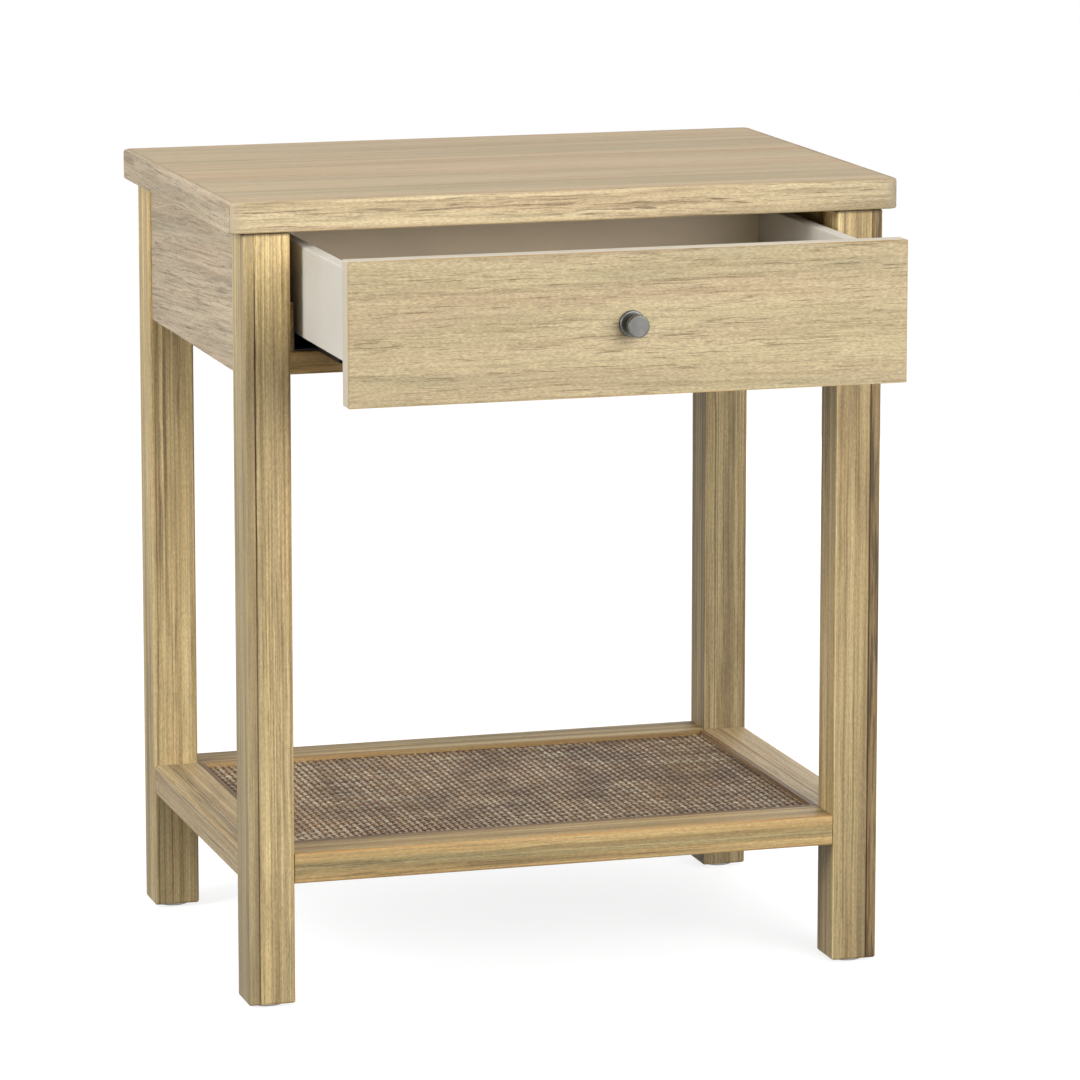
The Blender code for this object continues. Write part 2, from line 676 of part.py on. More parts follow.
def make_drawer_box(materials, drawer):
    """Two grooved sides, a box front and a back between them, and a bottom with a tongue round it."""
    paint = materials["cream_paint"]
    edge = 0.0015
    front_y = FRONT_BACK_Y + GAP
    tongue_top = FLOOR_BOTTOM + FLOOR_TONGUE_THICKNESS
    groove_z = (FLOOR_BOTTOM - GAP, tongue_top + GAP)
    for side_name, side in SIDES:
        low, high = mirrored_box(side, BOX_INNER_X, BOX_HALF_WIDTH, front_y, BOX_REAR_Y, BOX_BOTTOM, BOX_TOP)
        wall = board(f"drawer_side_{side_name}", low, high, paint, drawer, edge, 2, along=1)
        groove_x = (BOX_INNER_X - 0.005, BOX_INNER_X + FLOOR_GROOVE)
        cut_boxes(wall, [mirrored_box(side, *groove_x, front_y - 0.01, BOX_REAR_Y + 0.01, *groove_z)])
    half = BOX_INNER_X - GAP
    box_front = board(
        "drawer_box_front",
        (-half, front_y, BOX_BOTTOM),
        (half, front_y + BOX_WALL, BOX_TOP),
        paint,
        drawer,
        edge,
        2,
        along=0,
    )
    groove_y = (front_y + BOX_WALL - FLOOR_GROOVE, front_y + BOX_WALL + 0.005)
    groove = ((-BODY_WIDTH, groove_y[0], groove_z[0]), (BODY_WIDTH, groove_y[1], groove_z[1]))
    cut_boxes(box_front, [groove])
    board(
        "drawer_back",
        (-half, BOX_REAR_Y - BOX_WALL, groove_z[1]),
        (half, BOX_REAR_Y, BOX_TOP),
        paint,
        drawer,
        edge,
        2,
        along=0,
    )
    tongue_x = BOX_INNER_X + FLOOR_GROOVE - GAP
    low, high = (-tongue_x, groove_y[0] + GAP, FLOOR_BOTTOM), (tongue_x, BOX_REAR_Y, tongue_top)
    bottom = board("drawer_bottom", low, high, paint, drawer)
    floor_low = (-half, front_y + BOX_WALL + GAP, tongue_top - FLOOR_TONGUE_THICKNESS / 2)
    floor_high = (half, BOX_REAR_Y - BOX_WALL - GAP, FLOOR_BOTTOM + FLOOR_THICKNESS)
    join_boxes(bottom, [(floor_low, floor_high)])
    return box_front


def make_front_screws(materials, drawer, core, box_front):
    """Two screws from inside the box into the drawer front."""
    seat_y = FRONT_BACK_Y + GAP + BOX_WALL
    length = BOX_WALL + 0.012
    hole = SCREW_SHANK_RADIUS + GAP
    for side_name, side in SIDES:
        name = f"front_screw_{side_name}"
        seat = (side * FRONT_SCREW_X, seat_y, FRONT_SCREW_Z)
        outside = (seat[0], seat_y + 0.001, seat[2])
        drill(box_front, f"{name}_box_hole", outside, (0, -1, 0), hole, BOX_WALL + 0.002)
        drill(core, f"{name}_front_hole", outside, (0, -1, 0), hole, length + 0.002)
        screw(
            name,
            seat,
            (0, -1, 0),
            SCREW_SHANK_RADIUS,
            length,
            SCREW_HEAD_RADIUS,
            SCREW_HEAD_HEIGHT,
            materials["steel"],
            drawer,
        )


def quarter_round(centre_radius, centre_height, radius, start, end, steps):
    """Points on an arc in the profile plane, between two angles in degrees."""
    points = []
    for step in range(steps + 1):
        angle = math.radians(start + (end - start) * step / steps)
        point = (centre_radius + radius * math.cos(angle), centre_height + radius * math.sin(angle))
        points.append(point)
    return points


def make_knob(materials, drawer, core, veneer, box_front):
    """A rosette, a turned knob on it, and the screw that holds both from inside the box."""
    outward = (0, -1, 0)
    bore = KNOB_SCREW_RADIUS + GAP
    rosette_edge = 0.0014
    rosette_base = (0, FRONT_FACE_Y - GAP, KNOB_Z)
    rosette_height = ROSETTE_THICKNESS - GAP
    rosette_profile = [(bore, 0), (ROSETTE_RADIUS, 0)]
    rosette_profile += quarter_round(
        ROSETTE_RADIUS - rosette_edge, rosette_height - rosette_edge, rosette_edge, 0, 90, 3
    )
    rosette_profile += [(bore, rosette_height), (bore, 0)]
    turned("knob_rosette", rosette_profile, rosette_base, outward, materials["gunmetal"], drawer)

    neck_base = ROSETTE_THICKNESS + GAP
    head_base = KNOB_PROJECTION - HEAD_THICKNESS
    flare = 0.0028
    rim = 0.0012
    blind_end = KNOB_PROJECTION - 0.006
    knob_profile = [(0, blind_end), (bore, blind_end), (bore, neck_base), (NECK_RADIUS + 0.0012, neck_base)]
    knob_profile += [(NECK_RADIUS, neck_base + 0.0012)]
    knob_profile += [
        (NECK_RADIUS + flare - radius, height)
        for radius, height in quarter_round(0, head_base - flare, flare, 0, 90, 4)
    ]
    knob_profile += quarter_round(HEAD_RADIUS - rim, head_base + rim, rim, -90, 0, 3)
    knob_profile += quarter_round(HEAD_RADIUS - rim, KNOB_PROJECTION - rim, rim, 0, 90, 3)
    knob_profile += [(HEAD_RADIUS - 2 * rim, KNOB_PROJECTION), (0, KNOB_PROJECTION)]
    face = (0, FRONT_FACE_Y, KNOB_Z)
    turned("knob", knob_profile, face, outward, materials["gunmetal"], drawer)

    seat_y = FRONT_BACK_Y + GAP + BOX_WALL
    depth = seat_y - FRONT_FACE_Y
    inside = (0, seat_y + 0.001, KNOB_Z)
    for piece in (core, veneer, box_front):
        drill(piece, f"{piece.name}_knob_hole", inside, outward, bore, depth + 0.002)
    length = depth + blind_end - 0.001
    screw(
        "knob_screw",
        (0, seat_y, KNOB_Z),
        outward,
        KNOB_SCREW_RADIUS,
        length,
        SCREW_HEAD_RADIUS,
        SCREW_HEAD_HEIGHT,
        materials["steel"],
        drawer,
    )


def make_packers(materials, table):
    """Wooden packers that carry the slides: thin past the legs, and thick between them."""
    for side_name, side in SIDES:
        low, high = mirrored_box(
            side,
            PACKER_INNER_X,
            LEG_INNER_X - GAP,
            RAIL_FACE_Y,
            APRON_INNER_Y - GAP,
            RAIL_TOP + GAP,
            PACKER_TOP,
        )
        packer = board(f"slide_packer_{side_name}", low, high, materials["hidden_wood"], table)
        block = mirrored_box(
            side,
            LEG_INNER_X - 0.003,
            APRON_INNER_X - GAP,
            -LEG_INNER_Y + GAP,
            LEG_INNER_Y - GAP,
            RAIL_TOP + 2 * GAP,
            PACKER_TOP - GAP,
        )
        join_boxes(packer, [block])


def make_slides(materials, table, carriage, drawer):
    """Three nested rails a side: on the packer, the carriage between, and under the drawer's bottom."""
    black = materials["black_steel"]
    rear_y = SLIDE_FRONT_Y + SLIDE_LENGTH
    hidden_front_y = FRONT_BACK_Y + BOX_WALL + 3 * GAP
    for side_name, side in SIDES:
        web_top = SLIDE_WEB_BOTTOM + SHEET
        flange_x = PACKER_INNER_X - GAP
        low, high = mirrored_box(
            side, CABINET_RAIL_INNER_X, flange_x, SLIDE_FRONT_Y, rear_y, SLIDE_WEB_BOTTOM, web_top
        )
        cabinet = board(f"slide_cabinet_{side_name}", low, high, black, table)
        wall = mirrored_box(
            side, flange_x - SHEET, flange_x, SLIDE_FRONT_Y, rear_y, web_top - SHEET / 2, CABINET_RAIL_TOP
        )
        lip = mirrored_box(
            side,
            CABINET_RAIL_INNER_X,
            CABINET_RAIL_INNER_X + SHEET,
            SLIDE_FRONT_Y,
            rear_y,
            web_top - SHEET / 2,
            CABINET_LIP_TOP,
        )
        join_boxes(cabinet, [wall, lip])

        top = CARRIAGE_BOTTOM + SHEET
        low, high = mirrored_box(
            side, CARRIAGE_INNER_X, CARRIAGE_OUTER_X, SLIDE_FRONT_Y, rear_y, CARRIAGE_BOTTOM, top
        )
        middle = board(f"slide_middle_{side_name}", low, high, black, carriage)
        flanges = [
            mirrored_box(side, inner, inner + SHEET, SLIDE_FRONT_Y, rear_y, top - SHEET / 2, CARRIAGE_TOP)
            for inner in (CARRIAGE_INNER_X, CARRIAGE_OUTER_X - SHEET)
        ]
        join_boxes(middle, flanges)

        plate_top = FLOOR_BOTTOM - GAP
        low, high = mirrored_box(
            side,
            DRAWER_RAIL_INNER_X,
            DRAWER_RAIL_OUTER_X,
            hidden_front_y,
            rear_y,
            plate_top - SHEET,
            plate_top,
        )
        upper = board(f"slide_drawer_{side_name}", low, high, black, drawer)
        blade = mirrored_box(
            side,
            DRAWER_RAIL_BLADE_X - SHEET,
            DRAWER_RAIL_BLADE_X,
            hidden_front_y,
            rear_y,
            DRAWER_RAIL_BOTTOM,
            plate_top - SHEET / 2,
        )
        join_boxes(upper, [blade])

        low, high = mirrored_box(
            side,
            DRAWER_RAIL_INNER_X - GAP - CLIP_WIDTH,
            DRAWER_RAIL_INNER_X - GAP,
            hidden_front_y,
            hidden_front_y + CLIP_LENGTH,
            CLIP_BOTTOM,
            plate_top,
        )
        board(f"slide_clip_{side_name}", low, high, materials["clip_plastic"], drawer, 0.002, 2, along=1)


def build():
    clear_scene()
    materials = make_materials()
    table = make_empty("table", (0, TABLE_Y, 0))
    carriage = make_empty("slide_carriage", (0, -DRAWER_PULL / 2, 0), table)
    drawer = make_empty("drawer", (0, -DRAWER_PULL, 0), table)

    panel = make_top(materials, table)
    make_cleats(materials, table, panel)
    make_legs(materials, table)
    make_aprons(materials, table)
    make_front_rail(materials, table)
    make_shelf_rails(materials, table)
    make_shelf_panel(materials, table)

    core, veneer = make_drawer_front(materials, drawer)
    box_front = make_drawer_box(materials, drawer)
    make_front_screws(materials, drawer, core, box_front)
    make_knob(materials, drawer, core, veneer, box_front)

    make_packers(materials, table)
    make_slides(materials, table, carriage, drawer)


build()
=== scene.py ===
"""The looks of the one-drawer nightstand: wood, paint, metal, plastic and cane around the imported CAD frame."""

import math

import bmesh
import bpy
import numpy as np
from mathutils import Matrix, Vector


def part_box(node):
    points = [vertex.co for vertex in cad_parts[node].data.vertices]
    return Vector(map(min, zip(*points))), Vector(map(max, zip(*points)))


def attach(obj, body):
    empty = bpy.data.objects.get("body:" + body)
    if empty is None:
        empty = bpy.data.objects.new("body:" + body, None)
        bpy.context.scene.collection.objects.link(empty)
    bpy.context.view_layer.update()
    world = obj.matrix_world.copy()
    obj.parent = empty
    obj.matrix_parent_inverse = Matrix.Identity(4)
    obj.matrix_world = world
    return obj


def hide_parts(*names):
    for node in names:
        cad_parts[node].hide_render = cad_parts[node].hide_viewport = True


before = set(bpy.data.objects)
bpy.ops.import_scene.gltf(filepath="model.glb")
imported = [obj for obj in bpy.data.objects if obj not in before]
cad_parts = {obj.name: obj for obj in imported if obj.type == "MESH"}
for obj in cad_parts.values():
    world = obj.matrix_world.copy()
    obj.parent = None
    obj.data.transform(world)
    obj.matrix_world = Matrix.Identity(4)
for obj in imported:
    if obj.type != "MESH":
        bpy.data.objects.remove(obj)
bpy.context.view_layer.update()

# ---------------------------------------------------------------------------
# Camera, in metres and degrees in the row frame
# ---------------------------------------------------------------------------
CAMERA_PLACE = (-1.4065, -4.7196, 1.3177)
CAMERA_YAW = 16.658  # turned right of straight ahead
CAMERA_PITCH = 9.64  # looking down
CAMERA_LENS = 186.744
CAMERA_SENSOR = 36.0
CAMERA_SHIFT_Y = -0.1

# ---------------------------------------------------------------------------
# Light: softboxes at the front right, the left, the rear and overhead, a glow in front and a dim dome
# ---------------------------------------------------------------------------
LAMPS = (
    # name, place in metres, side of its square in metres, power in watts
    ("key", (1.1, -3.0, 1.52), 2.2, 86.0),
    ("side", (-1.86, -0.38, 1.1), 0.9, 30.0),
    ("above", (0.4, -0.4, 2.4), 1.4, 10.0),
    ("rear", (1.5, 2.4, 0.36), 0.66, 14.0),
)
LAMP_TARGET = (0.0, -0.1, 0.4)
SKY_ABOVE = 0.58
SKY_BELOW = 0.10
SKY_EDGES = (0.0, 0.7)  # heights of a direction, 0 to 1, where the dome starts and ends to lighten
GLOW_FROM = (0.34, -1.0, 0.26)
GLOW_GAIN = 3.1
GLOW_EDGES = (0.84, 1.0)  # cosines from its middle where it ends and where it is brightest
TONE = 0.66  # how much of a measured colour is the surface's own, under this light

# ---------------------------------------------------------------------------
# Weave of the shelf, in metres
# ---------------------------------------------------------------------------
PITCH_X = 0.0063
PITCH_Y = 0.0058
STRAND_WIDTH = 0.0040
STRAND_INSET = 0.0016  # from the edge of the panel's space to the ends of the strands
STRAND_SWAY = 0.00018  # how far a strand may lie to the side of its even place
STRAND_FILL = 0.98  # a strand's thickness as a share of half the woven height
STRAND_LIFTS = (0.92, 1.0)  # how far each strand climbs, as a share of the full way
STRAND_WIDTHS = (0.93, 1.05)  # how wide each is, as a share of STRAND_WIDTH
STEPS_PER_CROSSING = 3
STRAND_SIDES = 6
WEAVE_SEED = 11


def linear(red, green, blue, gain=TONE):
    """An sRGB colour, 0 to 255, as the linear colour a shader takes."""
    values = [channel / 255 for channel in (red, green, blue)]
    line = [v / 12.92 if v <= 0.04045 else ((v + 0.055) / 1.055) ** 2.4 for v in values]
    return (*[gain * v for v in line], 1.0)


# ---------------------------------------------------------------------------
# Short ways to make shader nodes
# ---------------------------------------------------------------------------
class Shader:
    """One material and the nodes added to it. Each method returns an output socket."""

    def __init__(self, name):
        self.material = bpy.data.materials.new(name)
        self.material.use_nodes = True
        self.tree = self.material.node_tree
        self.surface = self.tree.nodes["Principled BSDF"]

    def node(self, kind, inputs, **settings):
        made = self.tree.nodes.new(kind)
        for key, value in settings.items():
            setattr(made, key, value)
        for key, value in inputs.items():
            self.put(made.inputs[key], value)
        return made

    def put(self, socket, value):
        if isinstance(value, bpy.types.NodeSocket):
            self.tree.links.new(value, socket)
        else:
            socket.default_value = value

    def set(self, **values):
        """Sets sockets of the Principled shader; an underscore stands for a space."""
        for key, value in values.items():
            self.put(self.surface.inputs[key.replace("_", " ")], value)

    def math(self, operation, *values):
        made = self.node("ShaderNodeMath", dict(enumerate(values)), operation=operation)
        return made.outputs[0]

    def place(self):
        """The point in the row frame at rest."""
        return self.node("ShaderNodeTexCoord", {}).outputs["Object"]

    def split(self, vector):
        return self.node("ShaderNodeSeparateXYZ", {0: vector}).outputs

    def join(self, x, y, z):
        return self.node("ShaderNodeCombineXYZ", {0: x, 1: y, 2: z}).outputs[0]

    def stretch(self, vector, scale, offset=(0, 0, 0)):
        made = self.node("ShaderNodeMapping", {"Vector": vector, "Scale": scale, "Location": offset})
        return made.outputs[0]

    def noise(self, vector, detail=2.0, roughness=0.5, scale=1.0):
        inputs = {"Vector": vector, "Scale": scale, "Detail": detail, "Roughness": roughness}
        return self.node("ShaderNodeTexNoise", inputs).outputs[0]

    def fit(self, value, low, high, to_low=0.0, to_high=1.0, smooth=False):
        inputs = {0: value, 1: low, 2: high, 3: to_low, 4: to_high}
        kind = "SMOOTHSTEP" if smooth else "LINEAR"
        return self.node("ShaderNodeMapRange", inputs, interpolation_type=kind, clamp=True).outputs[0]

    def mix(self, share, first, second):
        made = self.node("ShaderNodeMix", {}, data_type="RGBA")
        self.put(made.inputs[0], share)
        self.put(made.inputs[6], first)
        self.put(made.inputs[7], second)
        return made.outputs[2]

    def brighten(self, colour, factor):
        made = self.node("ShaderNodeVectorMath", {0: colour, "Scale": factor}, operation="SCALE")
        return made.outputs[0]

    def ramp(self, value, *stops):
        made = self.node("ShaderNodeValToRGB", {0: value})
        elements = made.color_ramp.elements
        for _ in stops[2:]:
            elements.new(0.5)
        for element, (position, colour) in zip(elements, stops):
            element.position = position
            element.color = colour
        return made.outputs[0]

    def bump(self, height, distance, strength=1.0):
        inputs = {"Height": height, "Distance": distance, "Strength": strength}
        self.put(self.surface.inputs["Normal"], self.node("ShaderNodeBump", inputs).outputs[0])


# ---------------------------------------------------------------------------
# Wood
# ---------------------------------------------------------------------------
# Each size is (per metre along the grain, per metre across it), and each share is from 0 to 1.
# The lines wave by up to wave metres, and an edge's stain reaches edge metres in.
WOODS = {
    "leg": {
        "pale": (228, 206, 152), "base": (200, 175, 121), "grey": (168, 149, 108),
        "streak": (92, 70, 40), "blush": (204, 164, 112), "stain": (182, 126, 56),
        "bands": (1.2, 95.0), "lines": (2.4, 430.0), "dashes": (15.0, 780.0), "specks": (260.0, 1050.0),
        "line_share": 0.62, "dash_share": 0.58, "speck_share": 0.13, "blush_share": 0.3,
        "wave": 0.0008, "edge": 0.0022, "stain_share": 0.85,
    },
    "rail": {
        "pale": (218, 192, 134), "base": (190, 160, 104), "grey": (156, 139, 96),
        "streak": (86, 66, 38), "blush": (204, 154, 92), "stain": (196, 136, 60),
        "bands": (1.2, 80.0), "lines": (2.6, 300.0), "dashes": (14.0, 620.0), "specks": (240.0, 1050.0),
        "line_share": 0.66, "dash_share": 0.58, "speck_share": 0.12, "blush_share": 0.35,
        "wave": 0.0012, "edge": 0.0022, "stain_share": 0.8,
    },
    "flank": {
        "pale": (218, 195, 148), "base": (195, 169, 124), "grey": (164, 147, 112),
        "streak": (90, 71, 46), "blush": (204, 162, 112), "stain": (192, 142, 78),
        "bands": (1.6, 90.0), "lines": (3.2, 340.0), "dashes": (16.0, 660.0), "specks": (240.0, 1050.0),
        "line_share": 0.55, "dash_share": 0.58, "speck_share": 0.12, "blush_share": 0.35,
        "wave": 0.0014, "edge": 0.0022, "stain_share": 0.7,
    },
    "divider": {
        "pale": (212, 184, 128), "base": (192, 160, 104), "grey": (160, 130, 80),
        "streak": (92, 66, 32), "blush": (194, 148, 82), "stain": (112, 82, 44),
        "bands": (6.0, 60.0), "lines": (5.0, 300.0), "dashes": (16.0, 620.0), "specks": (240.0, 1050.0),
        "line_share": 0.5, "dash_share": 0.5, "speck_share": 0.12, "blush_share": 0.4,
        "wave": 0.0012, "edge": 0.0018, "stain_share": 0.6,
    },
    "veneer": {
        "pale": (216, 198, 154), "base": (205, 186, 143), "grey": (188, 173, 134),
        "streak": (116, 92, 58), "blush": (208, 178, 142), "stain": (190, 146, 80),
        "bands": (3.0, 46.0), "lines": (7.0, 400.0), "dashes": (34.0, 860.0), "specks": (280.0, 1050.0),
        "line_share": 0.32, "dash_share": 0.66, "speck_share": 0.15, "blush_share": 0.5,
        "wave": 0.0022, "edge": 0.0014, "stain_share": 0.75,
    },
    "band": {
        "pale": (230, 210, 166), "base": (212, 190, 148), "grey": (180, 162, 122),
        "streak": (96, 76, 50), "blush": (210, 177, 140), "stain": (212, 186, 140),
        "bands": (3.0, 90.0), "lines": (8.0, 330.0), "dashes": (26.0, 700.0), "specks": (260.0, 1050.0),
        "line_share": 0.48, "dash_share": 0.8, "speck_share": 0.13, "blush_share": 0.4,
        "wave": 0.0030, "edge": 0.003, "stain_share": 0.5,
    },
    "side": {
        "pale": (214, 196, 166), "base": (196, 178, 148), "grey": (176, 161, 134),
        "streak": (98, 82, 60), "blush": (204, 176, 145), "stain": (188, 150, 98),
        "bands": (4.0, 90.0), "lines": (9.0, 430.0), "dashes": (24.0, 700.0), "specks": (260.0, 1050.0),
        "line_share": 0.46, "dash_share": 0.7, "speck_share": 0.13, "blush_share": 0.5,
        "wave": 0.0026, "edge": 0.002, "stain_share": 0.4,
    },
    "top": {
        "pale": (214, 190, 150), "base": (206, 183, 144), "grey": (192, 175, 138),
        "streak": (146, 122, 88), "blush": (214, 178, 140), "stain": (160, 112, 74),
        "bands": (0.8, 22.0), "lines": (2.2, 190.0), "dashes": (9.0, 560.0), "specks": (100.0, 900.0),
        "line_share": 0.26, "dash_share": 0.33, "speck_share": 0.07, "blush_share": 0.6,
        "wave": 0.001, "edge": 0.0016, "stain_share": 0.85,
    },
    "bead": {
        "pale": (176, 146, 104), "base": (146, 116, 78), "grey": (120, 98, 66),
        "streak": (76, 54, 34), "blush": (146, 100, 68), "stain": (96, 66, 42),
        "bands": (6.0, 200.0), "lines": (8.0, 600.0), "dashes": (30.0, 900.0), "specks": (150.0, 900.0),
        "line_share": 0.4, "dash_share": 0.4, "speck_share": 0.15, "blush_share": 0.4,
        "wave": 0.0006, "edge": 0.0012, "stain_share": 0.7,
    },
}
WOOD_COLOURS = ("pale", "base", "grey", "streak", "blush", "stain")
WOOD_RELIEF = 0.00022  # metres from the deepest pore to the highest fibre
WOOD_RELIEF_SHARE = 0.4
GROOVE_FROM_SIDE = 0.0097  # from a front leg's outer face to the middle of its groove
GROOVE_REACH = 0.0011  # from the middle of the groove to where its stain ends
GROOVE_STAIN = (104, 74, 36)
GROOVE_STREAK = (62, 46, 26)
BEYOND_GROOVE = {  # tint, its share, tone, share of dark streaks
    "left": ((150, 136, 106), 0.35, 0.82, 0.0),
    "right": ((136, 106, 62), 0.6, 0.92, 0.75),
}
# painted shadow: the dark line where the top's overhang shades a front leg
UNDER_TOP_SHADOW = (84, 64, 34)
CREAM_HIGHLIGHT_AND_WEAR = (228, 210, 164)  # a leg's left arrises: painted highlight along with rubbed wear
LEG_FADE_HEIGHT = 0.42  # painted shade: a leg darkens from here down, as less light reaches its foot
LEG_FOOT_PAINTED_SHADE = 0.82
LEG_HEAD_HEIGHTS = (0.54, 0.66)  # painted light: and lightens between these, against the shade under the top
LEG_HEAD_PAINTED_LIGHT = 1.25
LEG_SOIL_SCALE = (7, 60, 60)  # darker patches, long with the grain
LEG_SOIL_SHARE = 0.3
CORNER_BLEND = 0.014  # the stretch of a lipping that takes the next one's colour
BAND_RIGHT_PAINTED_SHADE = 0.84  # painted shade: how much of its lightness a lipping keeps at its right end, where the light is brighter
# How light a leg's left face is, against the rest of the leg. 1.7 isn't the wood's own tone: it makes up
# for light that reaches that face in the photograph and not on this stage.
LEFT_FACE_TONES = {"leg_front_left": 0.93, "leg_front_right": 1.7, "leg_rear_right": 1.05}
LEFT_FACE_EDGE = (0.0005, 0.0016)  # metres in from the left face over which that tone ends
FRONT_FACE_EDGE = (0.002, 0.003)  # metres behind the front face over which its stains end
UNDER_TOP_EDGE = (0.0035, 0.0012)  # metres under the top where the painted shadow line starts, and is full


def grain_place(shader, axis, seed, slope=0.0):
    """The point with the grain's axis first, moved by seed so that no two boards match."""
    x, y, z = shader.split(shader.place())
    along, across, through = {"X": (x, y, z), "Y": (y, x, z), "Z": (z, x, y)}[axis]
    if slope:
        through = shader.math("SUBTRACT", through, shader.math("MULTIPLY", along, slope))
    moved = shader.join(along, across, through)
    return shader.stretch(moved, (1, 1, 1), (0.37 * seed, 0.113 * seed, 0.071 * seed))


def edge_distance(shader, node):
    """How far a point on a board's surface is from the nearest edge of the board."""
    low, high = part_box(node)
    middle = (low + high) / 2
    half = (high - low) / 2
    inside = []
    for value, centre, reach in zip(shader.split(shader.place()), middle, half):
        offset = shader.math("ABSOLUTE", shader.math("SUBTRACT", value, centre))
        inside.append(shader.math("SUBTRACT", reach, offset))
    nearest = shader.math("MINIMUM", inside[0], inside[1])
    second = shader.math("MAXIMUM", inside[0], inside[1])
    return shader.math("MAXIMUM", nearest, shader.math("MINIMUM", second, inside[2]))


def layer(shader, point, sizes, detail, roughness=0.5, offset=0.0):
    """Noise stretched along the grain; sizes are as in WOODS."""
    along, across = sizes
    place = shader.stretch(point, (along, across, across), (offset, offset, offset))
    return shader.noise(place, detail, roughness)


def banded(shader, point, look, colour):
    """Broad soft bands of grey, base and pale wood, with a blush here and there."""
    bands = layer(shader, point, look["bands"], 3)
    shade = shader.ramp(bands, (0.33, colour["grey"]), (0.5, colour["base"]), (0.67, colour["pale"]))
    hues = layer(shader, point, look["bands"], 2, offset=7.3)
    return shader.mix(shader.fit(hues, 0.42, 0.68, 0, look["blush_share"]), shade, colour["blush"])


def lined(shader, point, look, colour, shade):
    """The shade with fine dark and pale lines along the grain, and the lines themselves."""
    lines = layer(shader, point, look["lines"], 3, 0.6)
    patches = layer(shader, point, [size * 0.2 for size in look["lines"]], 2)
    depth = shader.fit(patches, 0.36, 0.66, 0.3, 1.0)
    dark = shader.math("MULTIPLY", shader.fit(lines, 0.5, 0.62, 0, look["line_share"]), depth)
    shade = shader.mix(dark, shade, colour["streak"])
    light = shader.fit(lines, 0.3, 0.46, look["line_share"], 0)
    return shader.mix(light, shade, colour["pale"]), lines


def pored(shader, point, look, colour, shade):
    """The shade with short dark pores in clusters, and the pores themselves."""
    dashes = layer(shader, point, look["dashes"], 3, 0.62)
    clusters = layer(shader, point, [size * 0.25 for size in look["dashes"]], 2, offset=3.1)
    depth = shader.fit(clusters, 0.4, 0.62, 0.15, 1.0)
    pores = shader.math("MULTIPLY", shader.fit(dashes, 0.53, 0.64, 0, look["dash_share"]), depth)
    return shader.mix(pores, shade, colour["streak"]), pores


def stained_edges(shader, node, point, look, shade, tint):
    """Finish that gathered along a board's arrises, here and there rubbed off again; on a leg's left arrises the
    tint is a painted highlight with rubbed wear.
    """
    edge = shader.fit(edge_distance(shader, node), 0, look["edge"], 1, 0, smooth=True)
    worn = shader.noise(shader.stretch(point, (9, 40, 40)), 3, 0.6)
    worn = shader.fit(worn, 0.36, 0.6, 0.1, look["stain_share"])
    return shader.mix(shader.math("MULTIPLY", edge, worn), shade, tint)


def leg_painted_light_and_soil(shader, point, colour, shade):
    """A leg's colour with painted shade towards the foot, painted light under the top, and its soiled patches.
    """
    height = shader.split(shader.place())[2]
    # painted shade darker towards the foot, then painted light just under the top
    shade = shader.brighten(shade, shader.fit(height, 0, LEG_FADE_HEIGHT, LEG_FOOT_PAINTED_SHADE, 1))
    shade = shader.brighten(shade, shader.fit(height, *LEG_HEAD_HEIGHTS, 1, LEG_HEAD_PAINTED_LIGHT))
    soiled = shader.noise(shader.stretch(point, LEG_SOIL_SCALE, (5.3, 0, 0)), 4, 0.62)
    return shader.mix(shader.fit(soiled, 0.5, 0.66, 0, LEG_SOIL_SHARE), shade, colour["streak"])


def left_face(shader, node, shade, tone):
    """The shade with the board's left face lighter or darker than the rest."""
    near, far = (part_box(node)[0].x + depth for depth in LEFT_FACE_EDGE)
    x = shader.split(shader.place())[0]
    return shader.brighten(shade, shader.fit(x, near, far, tone, 1.0))


def wood(node, kind, axis, tone, seed, slope=0.0):
    """Washed, open-grained wood: soft bands, dark lines and pores along the grain, stained edges."""
    look = WOODS[kind]
    shader = Shader(f"wood_{node}")
    colour = {name: linear(*look[name], tone * TONE) for name in WOOD_COLOURS}
    point = swayed(shader, grain_place(shader, axis, seed, slope), look["wave"])

    shade = banded(shader, point, look, colour)
    shade, lines = lined(shader, point, look, colour, shade)
    shade, pores = pored(shader, point, look, colour, shade)
    specks = layer(shader, point, look["specks"], 2, 0.6)
    swing = 1.6 * look["speck_share"]
    shade = shader.brighten(shade, shader.fit(specks, 0.3, 0.7, 1 - swing, 1 + swing))

    tint = colour["stain"]
    if kind == "leg":
        shade = leg_painted_light_and_soil(shader, point, colour, shade)
        tint = leg_edge_tint(shader, node, tint)
    shade = stained_edges(shader, node, point, look, shade, tint)
    if node.startswith("leg_front"):
        shade = grooved(shader, node, shade, point)
    if kind == "band":
        shade = turned_ends(shader, node, shade, tone)
    if node in LEFT_FACE_TONES:
        shade = left_face(shader, node, shade, LEFT_FACE_TONES[node])

    gloss = shader.fit(lines, 0.3, 0.7, 0.5, 0.66)
    shader.set(Base_Color=shade, Roughness=gloss, Specular_IOR_Level=0.3)
    relief = shader.math("SUBTRACT", shader.math("MULTIPLY", lines, -0.5), pores)
    relief = shader.math("ADD", relief, shader.math("MULTIPLY", specks, 0.5))
    shader.bump(relief, WOOD_RELIEF, WOOD_RELIEF_SHARE)
    return shader.material


def swayed(shader, point, reach):
    """The point moved across the grain by up to reach, so that lines wander."""
    sway = shader.noise(shader.stretch(point, (13, 45, 45)), detail=2)
    sway = shader.math("MULTIPLY", shader.math("SUBTRACT", sway, 0.5), reach * 2)
    along, across, through = shader.split(point)
    return shader.join(along, shader.math("ADD", across, sway), shader.math("ADD", through, sway))


def leg_edge_tint(shader, node, stain):
    """A leg's right arrises are stained, and its left ones pale: a painted highlight along with rubbed wear."""
    low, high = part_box(node)
    middle = (low.x + high.x) / 2
    x = shader.split(shader.place())[0]
    return shader.mix(shader.fit(x, middle - 0.002, middle + 0.002), linear(*CREAM_HIGHLIGHT_AND_WEAR), stain)


